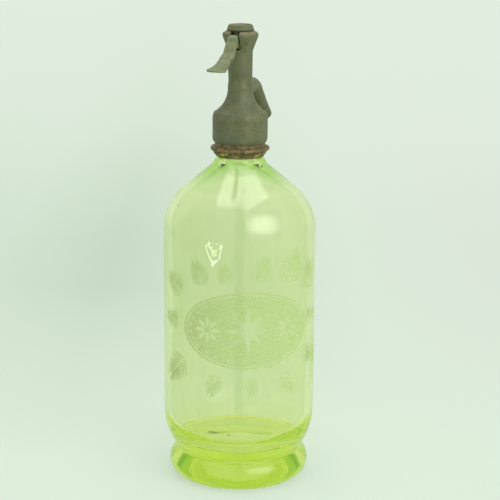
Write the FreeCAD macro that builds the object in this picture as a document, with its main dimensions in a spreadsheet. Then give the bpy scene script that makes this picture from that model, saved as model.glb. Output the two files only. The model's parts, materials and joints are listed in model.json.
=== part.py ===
import FreeCAD, Part
import math
import os
import Sketcher
from FreeCAD import Vector

# Soda siphon: thick glass bottle, split brass neck ring, cast head with lever valve and spout.
# Millimetres, +Z up, origin at the middle of the foot, lever towards -Y, spout towards +Y.

# Bottle
bottle_radius = 50.0
glass_wall = 5.0
foot_contact_radius = 38.4
foot_contact_width = 1.8
foot_radius = 46.4
foot_bulge_height = 10.5
waist_height = 19.8
waist_radius = 41.2
kick_up = 16.0
floor_height = 27.0
floor_radius = 32.0
heel_rise = 27.2
body_length = 121.0
shoulder_rise = 27.8
shoulder_end_radius = 36.6
flank_rise = 13.2
flank_end_radius = 20.2
neck_rise = 7.0
neck_curve = 12.0
neck_radius = 13.2
neck_bore = 9.0
neck_groove_length = 12.2
bead_radius = 15.0
bead_slope = 1.6
bead_length = 4.4
mouth_round = 1.8
mouth_lip = 1.5

# Split neck ring
ring_clearance = 0.2
ring_lip_radius = 15.9
ring_lip_height = 1.3
ring_bead_radius = 19.3
ring_bead_rise = 5.3
ring_bead_round = 0.9
ring_shelf_rise = 7.9
ring_thread_radius = 16.4
ring_top_drop = 1.2
ring_half_angle = 179.4
ring_seam_turn = 22.0

# Head casting
thread_clearance = 0.2
skirt_gap = 1.4
skirt_radius = 17.95
skirt_roll = 3.4
skirt_height = 14.9
skirt_thread_room = 1.6
dome_break_radius = 17.0
dome_rise = 4.6
dome_curve = 10.0
column_base_radius = 8.1
flare_rise = 16.2
flare_curve = 17.5
column_waist_radius = 7.65
column_waist_rise = 4.2
column_radius = 7.9
column_swell_rise = 5.8
column_length = 13.2
collar_radius = 11.55
collar_flare_rise = 9.5
collar_band_height = 1.9
collar_bevel_rise = 1.6
collar_top_radius = 9.3
lever_chamber_bore = 6.5
chamber_floor_rise = 0.8
bush_seat_bore = 5.6
bush_length = 3.0
valve_bore = 4.8
wet_chamber_bore = 5.6
wet_chamber_rise = 1.7
lever_slot_width = 6.4
slot_floor_radius = 4.0
slot_floor_rise = 1.7

# Spout
spout_drop = 1.0
boss_root_radius = 6.6
boss_end_radius = 5.3
boss_start = 6.2
boss_reach = 17.5
web_width = 5.0
spigot_radius = 3.5
spigot_length = 6.0
spigot_clearance = 0.05
channel_radius = 2.2
elbow_radius = 5.1
elbow_bend = 8.0
elbow_lead = 1.2
spout_slope = 44.0
spout_leg_length = 31.0
spout_end_radius = 4.2
spout_end_length = 12.0
spout_lip_round = 1.0

# Screw cap
cap_washer_thickness = 0.4
cap_washer_radius = 8.2
cap_radius = 8.8
cap_taper = 0.5
cap_side_height = 1.6
cap_height = 3.6
cap_rim_radius = 7.5
cap_rim_width = 1.1
cap_dish_depth = 1.4
cap_top_thickness = 1.2
cap_spigot_wall = 1.2
cap_spigot_length = 4.4
cap_thread_clearance = 0.1

# Lever and its pin
pin_radius = 1.25
pin_clearance = 0.04
pin_forward = 7.5
pin_rise = 4.0
pin_end_recess = 0.15
eye_radius = 2.6
nose_radius = 1.6
fork_gap = 3.0
fork_root = 3.6
slot_side_clearance = 0.6
lever_neck_width = 7.0
lever_throat_width = 8.2
thumb_width = 13.0
thumb_reach = 44.2
thumb_end_depth = 4.2
thumb_curve = 30.0
thumb_drop = 12.4
crest_drop = 0.2

# Valve spindle
washer_radius = 3.6
washer_thickness = 2.0
seat_gap = 0.05
cup_radius = 4.4
cup_rim_depth = 0.9
cup_height = 2.2
stem_radius = 2.0
land_rise = 0.9
land_thickness = 1.0
land_clearance = 0.2
seal_height = 2.3
seal_seat_radius = 3.0
seal_clearance = 0.04
guide_radius = 1.6
guide_clearance = 0.05
guide_stand = 0.6
rod_end_radius = 1.2
rod_end_length = 9.6
nut_radius = 3.4
nut_height = 2.8
nut_gap = 0.2
spring_wire_radius = 0.45
spring_radius = 3.4
spring_turns = 5.0
spring_end_gap = 0.06

# Valve seat, seals and dip tube
seal_thickness = 2.0
holder_flange_radius = 14.6
holder_flange_clearance = 0.3
holder_flange_thickness = 1.6
holder_barrel_radius = 6.8
holder_barrel_length = 16.0
holder_socket_depth = 14.4
holder_port_clearance = 0.6
gasket_thickness = 1.0
gasket_margin = 1.0
seat_base_clearance = 0.2
seat_base_height = 3.4
nozzle_radius = 2.6
nozzle_rise = 4.2
port_radius = 1.6
tube_radius = 4.0
tube_bore = 2.5
tube_floor_gap = 6.0
sleeve_wall = 1.4
sleeve_length = 13.6

driving = {name: value for name, value in globals().items() if isinstance(value, float)}
doc = FreeCAD.newDocument("siphon")
sheet = doc.addObject("Spreadsheet::Sheet", "sizes")


class Size:
    """A number together with the text that binds it to the sheet."""

    def __init__(self, number, text):
        self.number = number
        self.text = text

    def __add__(self, other):
        other = as_size(other)
        return Size(self.number + other.number, f"({self.text} + {other.text})")

    def __sub__(self, other):
        other = as_size(other)
        return Size(self.number - other.number, f"({self.text} - {other.text})")

    def __mul__(self, other):
        other = as_size(other)
        return Size(self.number * other.number, f"({self.text} * {other.text})")

    def __truediv__(self, other):
        other = as_size(other)
        return Size(self.number / other.number, f"({self.text} / {other.text})")

    def __neg__(self):
        return Size(-self.number, f"(0 - {self.text})")

    __radd__ = __add__


def as_size(value):
    return value if isinstance(value, Size) else Size(float(value), repr(float(value)))


def root(size):
    return Size(math.sqrt(size.number), f"sqrt({size.text})")


def sine(size):
    return Size(math.sin(math.radians(size.number)), f"sin({size.text} * 1 deg)")


def cosine(size):
    return Size(math.cos(math.radians(size.number)), f"cos({size.text} * 1 deg)")


# Every driving dimension gets a cell in the sheet, and from here on its name stands for that cell
for row, (alias, value) in enumerate(driving.items(), start=1):
    sheet.set(f"A{row}", str(value))
    sheet.setAlias(f"A{row}", alias)
    globals()[alias] = Size(value, f"sizes.{alias}")
doc.recompute()

# Levels of the glass, stacked from the floor up
heel_height = waist_height + heel_rise
shoulder_start = heel_height + body_length
shoulder_end_height = shoulder_start + shoulder_rise
flank_end_height = shoulder_end_height + flank_rise
ring_base = flank_end_height + neck_rise
bead_base = ring_base + neck_groove_length
bead_full_height = bead_base + bead_slope
bead_top = bead_full_height + bead_length
mouth_height = bead_top + mouth_round

# Levels of the ring and the head, stacked on the bead
ring_bead_height = ring_base + ring_bead_rise
ring_shelf_height = ring_base + ring_shelf_rise
ring_top = bead_top - ring_top_drop
skirt_base = ring_shelf_height + skirt_gap
skirt_top = skirt_base + skirt_height
dome_break_height = skirt_top + dome_rise
column_base_height = dome_break_height + flare_rise
column_waist_height = column_base_height + column_waist_rise
column_full_height = column_waist_height + column_swell_rise
collar_flare_height = column_full_height + column_length
collar_edge_height = collar_flare_height + collar_flare_rise
collar_shoulder_height = collar_edge_height + collar_band_height
collar_top_height = collar_shoulder_height + collar_bevel_rise
lever_chamber_floor = collar_flare_height + chamber_floor_rise
bush_base = lever_chamber_floor - bush_length
wet_chamber_top = column_base_height + wet_chamber_rise
spout_height = column_base_height - spout_drop
pin_height = lever_chamber_floor + pin_rise
flange_base = mouth_height + seal_thickness
flange_top = flange_base + holder_flange_thickness
ledge_height = flange_top + gasket_thickness
nozzle_height = flange_top + seat_base_height + nozzle_rise

LEFT = 1
RIGHT = -1
ZERO = as_size(0.0)
# A half circle is drawn this much wide, so that its two ends and its radius never fix it twice
HAIR = 0.001


def new_body(label):
    body = doc.addObject("PartDesign::Body", label)
    body.Label = label
    return body


def attach(body, sketch, role):
    plane = [feature for feature in body.Origin.OriginFeatures if feature.Role == role][0]
    sketch.AttachmentSupport = [(plane, "")]
    sketch.MapMode = "FlatFace"


def arc_between(start, end, radius, side):
    """The short arc from start to end that bulges to the given side of the way there."""
    chord = end - start
    middle = (start + end) / 2
    across = Vector(-chord.y, chord.x, 0).normalize()
    offset = math.sqrt(max(radius ** 2 - (chord.Length / 2) ** 2, 0))
    centre = middle - across * offset * side
    first, last = (end, start) if side == LEFT else (start, end)
    first_angle = math.atan2(first.y - centre.y, first.x - centre.x)
    last_angle = math.atan2(last.y - centre.y, last.x - centre.x)
    if last_angle <= first_angle:
        last_angle += 2 * math.pi
    circle = Part.Circle(centre, Vector(0, 0, 1), radius)
    return Part.ArcOfCircle(circle, first_angle, last_angle)


def dimension(sketch, kind, geometry, point, size):
    index = sketch.addConstraint(Sketcher.Constraint(kind, -1, 1, geometry, point, size.number))
    sketch.setExpression(f"Constraints[{index}]", size.text)


def outline(body, name, role, corners, sketch=None):
    """Closed outline on an origin plane. A corner is (a, b), or (a, b, radius, side) when an arc leads to it."""
    if sketch is None:
        sketch = body.newObject("Sketcher::SketchObject", f"{body.Label}_{name}")
        attach(body, sketch, role)
    base = sketch.GeometryCount
    corners = [tuple(as_size(v) if i < 3 else v for i, v in enumerate(c)) for c in corners]
    places = [Vector(c[0].number, c[1].number, 0) for c in corners]
    starts = []
    ends = []
    for i, place in enumerate(places):
        target = corners[(i + 1) % len(corners)]
        goal = places[(i + 1) % len(places)]
        if len(target) == 4:
            sketch.addGeometry(arc_between(place, goal, target[2].number, target[3]))
            starts.append(2 if target[3] == LEFT else 1)
            ends.append(1 if target[3] == LEFT else 2)
        else:
            sketch.addGeometry(Part.LineSegment(place, goal))
            starts.append(1)
            ends.append(2)
    for i, corner in enumerate(corners):
        following = (i + 1) % len(corners)
        joint = ("Coincident", base + i, ends[i], base + following, starts[following])
        sketch.addConstraint(Sketcher.Constraint(*joint))
        dimension(sketch, "DistanceX", base + i, starts[i], corner[0])
        dimension(sketch, "DistanceY", base + i, starts[i], corner[1])
        if len(corners[following]) == 4:
            radius = corners[following][2]
            index = sketch.addConstraint(Sketcher.Constraint("Radius", base + i, radius.number))
            sketch.setExpression(f"Constraints[{index}]", radius.text)
    return sketch


def circle(body, name, role, across, up, radius, sketch=None):
    if sketch is None:
        sketch = body.newObject("Sketcher::SketchObject", f"{body.Label}_{name}")
        attach(body, sketch, role)
    centre = Vector(across.number, up.number, 0)
    geometry = sketch.addGeometry(Part.Circle(centre, Vector(0, 0, 1), radius.number))
    dimension(sketch, "DistanceX", geometry, 3, across)
    dimension(sketch, "DistanceY", geometry, 3, up)
    index = sketch.addConstraint(Sketcher.Constraint("Radius", geometry, radius.number))
    sketch.setExpression(f"Constraints[{index}]", radius.text)
    return sketch


def revolve(body, sketch, kind="PartDesign::Revolution", axis="V_Axis", angle=None):
    feature = body.newObject(kind, f"{sketch.Label}_turned")
    feature.Profile = (sketch, [""])
    feature.ReferenceAxis = (sketch, [axis])
    feature.Angle = 360
    if angle is not None:
        feature.Midplane = True
        feature.setExpression("Angle", angle.text)
    return feature


def turned(label, corners):
    """A piece turned about the vertical axis from its half section."""
    body = new_body(label)
    revolve(body, outline(body, "section", "XZ_Plane", corners))
    return body


def extrude(body, sketch, kind, length, symmetric=False, reverse=False):
    feature = body.newObject(kind, f"{sketch.Label}_run")
    feature.Profile = (sketch, [""])
    feature.Midplane = symmetric
    feature.Reversed = reverse
    feature.setExpression("Length", length.text)
    return feature


def ring(label, inner, outer, base, top):
    return turned(label, [(inner, base), (outer, base), (outer, top), (inner, top)])


# Bottle: moulded foot, sharp waist, long body, rolled shoulder, neck groove and bead
def tangent_radius(across, along):
    """Radius of the arc that leaves a straight side and ends this far across and along."""
    return (across * across + along * along) / (across * 2)


heel_curve = tangent_radius(bottle_radius - waist_radius, heel_height - waist_height)
shoulder_curve = tangent_radius(bottle_radius - shoulder_end_radius, shoulder_end_height - shoulder_start)
inner_radius = bottle_radius - glass_wall
inner_share = (shoulder_curve - glass_wall) / shoulder_curve
shoulder_centre = bottle_radius - shoulder_curve
inner_mid_radius = shoulder_centre + (shoulder_end_radius - shoulder_centre) * inner_share
inner_mid_height = shoulder_start + (shoulder_end_height - shoulder_start) * inner_share
flank_slope = (flank_end_height - shoulder_end_height) / (shoulder_end_radius - flank_end_radius)
bottle = turned("bottle", [
    (0, kick_up),
    (foot_contact_radius - foot_contact_width - 2.6, 3.0, 240, RIGHT),
    (foot_contact_radius - foot_contact_width, 0, 4, RIGHT),
    (foot_contact_radius, 0),
    (foot_radius, foot_bulge_height, 11.5, RIGHT),
    (waist_radius, waist_height, 13, RIGHT),
    (bottle_radius, heel_height, heel_curve, RIGHT),
    (bottle_radius, shoulder_start),
    (shoulder_end_radius, shoulder_end_height, shoulder_curve, RIGHT),
    (flank_end_radius, flank_end_height),
    (ring_lip_radius + 0.2, ring_base - 1.6, neck_curve, LEFT),
    (neck_radius, ring_base - 0.4),
    (neck_radius, bead_base),
    (bead_radius, bead_full_height, 2.4, RIGHT),
    (bead_radius, bead_top),
    (bead_radius - mouth_lip, mouth_height, 1.8, RIGHT),
    (neck_bore, mouth_height),
    (neck_bore, inner_mid_height + flank_slope * (inner_mid_radius - neck_bore)),
    (inner_mid_radius, inner_mid_height),
    (inner_radius, shoulder_start, shoulder_curve - glass_wall, LEFT),
    (inner_radius, floor_height + 18),
    (floor_radius, floor_height, 22, LEFT),
    (0, floor_height),
])

# Split ring: two brass halves that close on the neck under the bead, threaded above
ring_bore = neck_radius + ring_clearance
ring_bead_bore = bead_radius + ring_clearance + 0.1
half_corners = [
    (ring_bore, ring_base),
    (ring_lip_radius, ring_base),
    (ring_lip_radius + 0.5, ring_base + 1.3),
    (ring_bead_radius - 0.3, ring_bead_height - ring_bead_round, 14, RIGHT),
    (ring_bead_radius - 0.3, ring_bead_height + ring_bead_round, ring_bead_round + 0.05, RIGHT),
    (ring_bead_radius - 1.0, ring_shelf_height - 0.7),
    (ring_thread_radius, ring_shelf_height),
    (ring_thread_radius, ring_top),
    (ring_bead_bore, ring_top),
    (ring_bead_bore, bead_full_height - 0.4),
    (ring_bore, bead_base - ring_clearance),
]
for label, half_turn in (("collar_half_right", 0), ("collar_half_left", 180)):
    half = new_body(label)
    half_section = outline(half, "section", "XZ_Plane", half_corners)
    revolve(half, half_section, angle=ring_half_angle)
    half.Placement = FreeCAD.Placement(Vector(), FreeCAD.Rotation(Vector(0, 0, 1), 0))
    half.setExpression("Placement.Rotation.Angle", (ring_seam_turn + half_turn).text)

# Head casting: skirt, dome, column and flared collar
skirt_bore = ring_thread_radius + thread_clearance
seal_cavity = holder_flange_radius + holder_flange_clearance
skirt_thread_top = ring_top + skirt_thread_room
head = turned("head_casting", [
    (skirt_bore, skirt_base),
    (skirt_radius - 1.0, skirt_base),
    (skirt_radius, skirt_base + skirt_roll, 6, RIGHT),
    (skirt_radius, skirt_top - 1.0),
    (dome_break_radius, dome_break_height, dome_curve, RIGHT),
    (column_base_radius, column_base_height, flare_curve, LEFT),
    (column_waist_radius, column_waist_height),
    (column_radius, column_full_height),
    (column_radius, collar_flare_height),
    (collar_radius, collar_edge_height),
    (collar_radius, collar_shoulder_height),
    (collar_top_radius, collar_top_height),
    (lever_chamber_bore, collar_top_height),
    (lever_chamber_bore, lever_chamber_floor),
    (bush_seat_bore, lever_chamber_floor),
    (bush_seat_bore, bush_base),
    (valve_bore, bush_base),
    (valve_bore, wet_chamber_top),
    (wet_chamber_bore, wet_chamber_top - 0.8),
    (wet_chamber_bore, ledge_height),
    (seal_cavity, ledge_height),
    (seal_cavity, skirt_thread_top + skirt_bore - seal_cavity),
    (skirt_bore, skirt_thread_top),
])

# Slot in the front of the collar for the lever, open at the top, round at the bottom
slot_half = lever_slot_width / 2
slot = outline(head, "slot", "XZ_Plane", [
    (-slot_half, lever_chamber_floor + slot_floor_rise),
    (slot_half, lever_chamber_floor + slot_floor_rise, slot_floor_radius, RIGHT),
    (slot_half, collar_top_height + 1),
    (-slot_half, collar_top_height + 1),
])
extrude(head, slot, "PartDesign::Pocket", collar_radius + 2, reverse=True)

# Spout boss at the back of the column with its web, channel and socket
boss_sketch = outline(head, "boss", "YZ_Plane", [
    (boss_start, spout_height),
    (boss_reach, spout_height),
    (boss_reach, spout_height + boss_end_radius),
    (boss_start, spout_height + boss_root_radius),
])
axis_line = boss_sketch.addGeometry(
    Part.LineSegment(Vector(0, spout_height.number, 0), Vector(30, spout_height.number, 0)), True)
dimension(boss_sketch, "DistanceX", axis_line, 1, ZERO)
dimension(boss_sketch, "DistanceY", axis_line, 1, spout_height)
dimension(boss_sketch, "DistanceX", axis_line, 2, as_size(30))
dimension(boss_sketch, "DistanceY", axis_line, 2, spout_height)
revolve(head, boss_sketch, axis="Axis0")

web = outline(head, "web", "YZ_Plane", [
    (boss_start, spout_height - 1),
    (boss_reach - 0.5, spout_height - 1),
    (boss_reach - 0.5, spout_height - boss_end_radius + 0.3),
    (skirt_radius - 6.5, dome_break_height + 3, 16, RIGHT),
    (boss_start, dome_break_height + 3),
])
extrude(head, web, "PartDesign::Pad", web_width, symmetric=True)

channel = circle(head, "channel", "XZ_Plane", ZERO, spout_height, channel_radius)
extrude(head, channel, "PartDesign::Pocket", boss_reach + 1)
socket = outline(head, "socket", "YZ_Plane", [
    (boss_reach - spigot_length - 0.1, spout_height),
    (boss_reach + 1, spout_height),
    (boss_reach + 1, spout_height + spigot_radius + spigot_clearance),
    (boss_reach - spigot_length - 0.1, spout_height + spigot_radius + spigot_clearance),
])
revolve(head, socket, "PartDesign::Groove", axis="Edge1")

# Cross bore for the lever pin
pin_bore = circle(head, "pin_bore", "YZ_Plane", -pin_forward, pin_height, pin_radius)
extrude(head, pin_bore, "PartDesign::Pocket", collar_radius * 2 + 2, symmetric=True)

# Spout: spigot, elbow and tapered leg with a rounded end, bored right through
spout = new_body("spout")
bend_centre_y = boss_reach + elbow_lead
bend_end_y = bend_centre_y + elbow_bend * sine(spout_slope)
bend_end_z = spout_height - elbow_bend + elbow_bend * cosine(spout_slope)
along_y = cosine(spout_slope)
along_z = -sine(spout_slope)
across_y = sine(spout_slope)
across_z = cosine(spout_slope)


def leg_point(along, across):
    return (bend_end_y + along_y * along + across_y * across,
            bend_end_z + along_z * along + across_z * across)


def leg_turned(name, kind, corners):
    """A shape turned about the sloping leg's own axis, whose first edge lies on that axis."""
    sketch = outline(spout, name, "YZ_Plane", [leg_point(*corner) for corner in corners])
    return revolve(spout, sketch, kind, axis="Edge1")


spigot = outline(spout, "spigot", "YZ_Plane", [
    (boss_reach - spigot_length, spout_height),
    (boss_reach, spout_height),
    (boss_reach, spout_height + spigot_radius),
    (boss_reach - spigot_length, spout_height + spigot_radius),
])
revolve(spout, spigot, axis="Edge1")


def elbow(name, radius, start, reach, kind):
    """The bend as a pipe of the given radius from start, along the bend, to reach past its end."""
    path = spout.newObject("Sketcher::SketchObject", f"{name}_path")
    attach(spout, path, "YZ_Plane")
    straight_end = Vector(bend_centre_y.number, spout_height.number, 0)
    bend_end = Vector(bend_end_y.number, bend_end_z.number, 0)
    far_y, far_z = leg_point(reach, ZERO)
    far_end = Vector(far_y.number, far_z.number, 0)
    path.addGeometry(Part.LineSegment(Vector(start.number, spout_height.number, 0), straight_end))
    path.addGeometry(arc_between(straight_end, bend_end, elbow_bend.number, LEFT))
    path.addGeometry(Part.LineSegment(bend_end, far_end))
    path.addConstraint(Sketcher.Constraint("Coincident", 0, 2, 1, 2))
    path.addConstraint(Sketcher.Constraint("Coincident", 1, 1, 2, 1))
    dimension(path, "DistanceX", 0, 1, start)
    dimension(path, "DistanceY", 0, 1, spout_height)
    dimension(path, "DistanceX", 0, 2, bend_centre_y)
    dimension(path, "DistanceY", 0, 2, spout_height)
    dimension(path, "DistanceX", 2, 1, bend_end_y)
    dimension(path, "DistanceY", 2, 1, bend_end_z)
    index = path.addConstraint(Sketcher.Constraint("Radius", 1, elbow_bend.number))
    path.setExpression(f"Constraints[{index}]", elbow_bend.text)
    dimension(path, "DistanceX", 2, 2, far_y)
    dimension(path, "DistanceY", 2, 2, far_z)
    section = circle(spout, f"{name}_section", "XZ_Plane", ZERO, spout_height, radius)
    section.setExpression("AttachmentOffset.Base.z", (-start).text)
    pipe = spout.newObject(kind, f"{name}_pipe")
    pipe.Profile = (section, [""])
    pipe.Spine = (path, [])
    return pipe


elbow("elbow", elbow_radius, boss_reach, as_size(0.5), "PartDesign::AdditivePipe")
leg_turned("leg", "PartDesign::Revolution", [
    (ZERO, ZERO),
    (spout_leg_length, ZERO),
    (spout_leg_length, spout_end_radius - spout_lip_round),
    (spout_leg_length - spout_lip_round, spout_end_radius),
    (spout_leg_length - spout_end_length, spout_end_radius),
    (ZERO, elbow_radius),
])
elbow("channel", channel_radius, boss_reach - spigot_length, spout_leg_length,
      "PartDesign::SubtractivePipe")

# Screw cap with a shallow dish, and the washer under it
cap_base = collar_top_height + cap_washer_thickness
cap_spigot_radius = lever_chamber_bore - cap_thread_clearance
cap_inner = cap_spigot_radius - cap_spigot_wall
cap_top = cap_base + cap_height
dish_radius = cap_rim_radius - cap_rim_width
dish_floor = cap_top - cap_dish_depth
dish_curve = tangent_radius(cap_dish_depth, dish_radius)
spigot_base = collar_top_height - cap_spigot_length
turned("head_cap", [
    (cap_inner, spigot_base),
    (cap_spigot_radius, spigot_base),
    (cap_spigot_radius, cap_base),
    (cap_radius, cap_base),
    (cap_radius - cap_taper, cap_base + cap_side_height),
    (cap_rim_radius, cap_top - 0.3),
    (cap_rim_radius - 0.3, cap_top, 0.5, RIGHT),
    (dish_radius, cap_top),
    (0, dish_floor, dish_curve, LEFT),
    (0, dish_floor - cap_top_thickness),
    (cap_inner, dish_floor - cap_top_thickness),
])
ring("cap_washer", cap_spigot_radius + 0.2, cap_washer_radius, collar_top_height, cap_base)

# Lever: forked nose, pivot eye, crest over the collar and a widening thumb plate
lever = new_body("lever")
shank_half = slot_half - slot_side_clearance
thumb_centre = thumb_reach - thumb_end_depth
crest_forward = pin_forward + 4.6
lever_crest_height = collar_shoulder_height - crest_drop
thumb_tip_height = pin_height - thumb_drop
nose_top = pin_height + nose_radius
side = outline(lever, "side", "YZ_Plane", [
    (0, nose_top),
    (0, pin_height - nose_radius, nose_radius + HAIR, LEFT),
    (-pin_forward, pin_height - eye_radius),
    (-pin_forward - eye_radius, pin_height, eye_radius, LEFT),
    (-pin_forward - 5.0, lever_crest_height - 5.3),
    (-pin_forward - 10.6, lever_crest_height - 13.2, 30, RIGHT),
    (-thumb_reach * 0.6, thumb_tip_height + 1.8, 24, RIGHT),
    (-thumb_reach * 0.985, thumb_tip_height - 1.5, thumb_curve, LEFT),
    (-thumb_reach, thumb_tip_height, 1.1, LEFT),
    (-thumb_reach * 0.62, thumb_tip_height + 4.2, thumb_curve, RIGHT),
    (-pin_forward - 12.6, lever_crest_height - 11.0, 24, LEFT),
    (-pin_forward - 7.6, lever_crest_height - 3.6, 60, LEFT),
    (-crest_forward, lever_crest_height, 4.4, LEFT),
    (-pin_forward - 2.0, lever_crest_height - 1.0, 4.4, LEFT),
    (-pin_forward, pin_height + eye_radius),
    (-nut_radius - 0.6, nose_top),
])
extrude(lever, side, "PartDesign::Pad", thumb_width + 4, symmetric=True)

neck_half = lever_neck_width / 2
throat_half = lever_throat_width / 2
thumb_half = thumb_width / 2
thumb_end_curve = tangent_radius(thumb_end_depth, thumb_half)
clear_of_collar = collar_radius + 0.9
frame_half = thumb_width
plan = outline(lever, "plan", "XY_Plane", [
    (-frame_half, nose_radius + 2),
    (-frame_half, -thumb_reach - 4),
    (frame_half, -thumb_reach - 4),
    (frame_half, nose_radius + 2),
])
outline(lever, "plan", "XY_Plane", [
    (-shank_half, nose_radius + 1),
    (-shank_half, -clear_of_collar),
    (-neck_half, -clear_of_collar - 1.4),
    (-throat_half, -thumb_reach * 0.58, 90, RIGHT),
    (-thumb_half, -thumb_centre, 60, LEFT),
    (thumb_half, -thumb_centre, thumb_end_curve, RIGHT),
    (throat_half, -thumb_reach * 0.58, 60, LEFT),
    (neck_half, -clear_of_collar - 1.4, 90, RIGHT),
    (shank_half, -clear_of_collar),
    (shank_half, nose_radius + 1),
], sketch=plan)
trim = extrude(lever, plan, "PartDesign::Pocket", lever_crest_height + 10, reverse=True)

fork_half = fork_gap / 2
fork = outline(lever, "fork", "XY_Plane", [
    (-fork_half, nose_radius + 2),
    (-fork_half, -fork_root + fork_half),
    (fork_half, -fork_root + fork_half, fork_half + HAIR, RIGHT),
    (fork_half, nose_radius + 2),
])
extrude(lever, fork, "PartDesign::Pocket", lever_crest_height + 10, reverse=True)
eye_bore = circle(lever, "eye_bore", "YZ_Plane", -pin_forward, pin_height, pin_radius + pin_clearance)
extrude(lever, eye_bore, "PartDesign::Pocket", thumb_width, symmetric=True)

# Pin through the collar, flush with its flare
flare_slope = (collar_radius - column_radius) / (collar_edge_height - collar_flare_height)
radius_at_pin = column_radius + flare_slope * (pin_height - pin_radius - collar_flare_height)
pin_half = root(radius_at_pin * radius_at_pin - pin_forward * pin_forward) - pin_end_recess
pin = new_body("lever_pin")
pin_section = circle(pin, "section", "YZ_Plane", -pin_forward, pin_height, pin_radius)
extrude(pin, pin_section, "PartDesign::Pad", pin_half * 2, symmetric=True)

# Valve spindle: washer cup, stem, sealed land, guide and threaded end
washer_base = nozzle_height + seat_gap
washer_top = washer_base + washer_thickness
cup_base = washer_top - cup_rim_depth
cup_top = washer_top + cup_height
land_radius = valve_bore - land_clearance
land_height = wet_chamber_top + land_rise
seal_base_height = land_height + land_thickness
land_shelf = seal_base_height + seal_height + 0.1
spring_base = land_shelf + land_thickness
guide_top = lever_chamber_floor + guide_stand
rod_top = guide_top + rod_end_length
turned("piston_rod", [
    (0, washer_top),
    (washer_radius, washer_top),
    (washer_radius, cup_base),
    (cup_radius, cup_base),
    (cup_radius, cup_top - 0.6),
    (cup_radius - 0.6, cup_top),
    (stem_radius, cup_top),
    (stem_radius, land_height),
    (land_radius, land_height),
    (land_radius, seal_base_height),
    (seal_seat_radius, seal_base_height),
    (seal_seat_radius, land_shelf),
    (land_radius, land_shelf),
    (land_radius, spring_base),
    (guide_radius, spring_base),
    (guide_radius, guide_top),
    (rod_end_radius, guide_top + 0.4),
    (rod_end_radius, rod_top - 0.3),
    (rod_end_radius - 0.3, rod_top),
    (0, rod_top),
])
turned("valve_washer", [
    (0, washer_base),
    (washer_radius, washer_base),
    (washer_radius, washer_top),
    (0, washer_top),
])
ring("piston_seal", seal_seat_radius, valve_bore - seal_clearance,
     seal_base_height + 0.05, seal_base_height + 0.05 + seal_height)

# Hexagon nut that the forked nose lifts
nut_base = nose_top + nut_gap
nut = new_body("lift_nut")
nut_corners = []
for corner in range(6):
    turn = math.radians(60 * corner)
    nut_corners.append((nut_radius * math.cos(turn), nut_radius * math.sin(turn)))
nut_sketch = outline(nut, "section", "XY_Plane", nut_corners)
circle(nut, "section", "XY_Plane", ZERO, ZERO, rod_end_radius, sketch=nut_sketch)
nut_sketch.setExpression("AttachmentOffset.Base.z", nut_base.text)
extrude(nut, nut_sketch, "PartDesign::Pad", nut_height)

# Return spring between the land and the guide bush
spring = new_body("return_spring")
coil_base = spring_base + spring_wire_radius + spring_end_gap
coil_height = bush_base - spring_base - spring_wire_radius * 2 - spring_end_gap * 2
wire = circle(spring, "wire", "XZ_Plane", spring_radius, coil_base, spring_wire_radius)
coil = spring.newObject("PartDesign::AdditiveHelix", "return_spring_coil")
coil.Profile = (wire, [""])
coil.ReferenceAxis = (wire, ["V_Axis"])
coil.Mode = 2
coil.setExpression("Height", coil_height.text)
coil.setExpression("Turns", spring_turns.text)

turned("spring_guide_bush", [
    (guide_radius + guide_clearance, bush_base),
    (bush_seat_bore, bush_base),
    (bush_seat_bore, lever_chamber_floor - 0.4),
    (bush_seat_bore - 0.4, lever_chamber_floor),
    (guide_radius + guide_clearance, lever_chamber_floor),
])

# Valve seat with its nozzle, and the seals between glass, holder and head
turned("valve_seat", [
    (port_radius, flange_top),
    (wet_chamber_bore - seat_base_clearance, flange_top),
    (wet_chamber_bore - seat_base_clearance, flange_top + seat_base_height),
    (nozzle_radius + 1.4, flange_top + seat_base_height),
    (nozzle_radius, nozzle_height - 0.6),
    (nozzle_radius - 0.5, nozzle_height),
    (port_radius, nozzle_height),
])
ring("seat_gasket", wet_chamber_bore + gasket_margin, holder_flange_radius, flange_top, ledge_height)
ring("mouth_seal", neck_bore, bead_radius - mouth_lip, mouth_height, flange_base)

# Tube holder, rubber sleeve and dip tube
barrel_base = flange_base - holder_barrel_length
socket_top = barrel_base + holder_socket_depth
turned("tube_holder", [
    (tube_radius + sleeve_wall, barrel_base),
    (holder_barrel_radius, barrel_base),
    (holder_barrel_radius, flange_base),
    (holder_flange_radius, flange_base),
    (holder_flange_radius, flange_top),
    (port_radius + holder_port_clearance, flange_top),
    (port_radius + holder_port_clearance, socket_top),
    (tube_radius + sleeve_wall, socket_top),
])
ring("tube_sleeve", tube_radius, tube_radius + sleeve_wall, socket_top - sleeve_length, socket_top)
ring("dip_tube", tube_bore, tube_radius, floor_height + tube_floor_gap, socket_top)

doc.recompute()

pieces = [item for item in doc.Objects if item.TypeId == "PartDesign::Body"]
for item in doc.Objects:
    if "Invalid" in item.State or "Error" in item.State:
        raise RuntimeError(f"{item.Label} failed: {item.State}")
for piece in pieces:
    if piece.Shape.isNull() or not piece.Shape.isValid() or len(piece.Shape.Solids) != 1:
        raise RuntimeError(f"{piece.Label} has no sound solid")

os.makedirs("parts", exist_ok=True)
for piece in pieces:
    piece.Shape.exportStep(f"parts/{piece.Label}.step")
    print(piece.Label, round(piece.Shape.Volume, 1))
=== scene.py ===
# %% [markdown]
# # An old glass soda siphon
# The siphon is a thick bottle of yellow-green glass with a cast pewter head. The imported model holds
# every piece at its real size, so this lesson only adds the looks. Blender reads that model as a
# fixed frame, and each new piece is made where the frame says, in metres.

# %% Load the frame
import json
import math
import bmesh
import bpy
from mathutils import Euler, Matrix, Vector, noise

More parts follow.
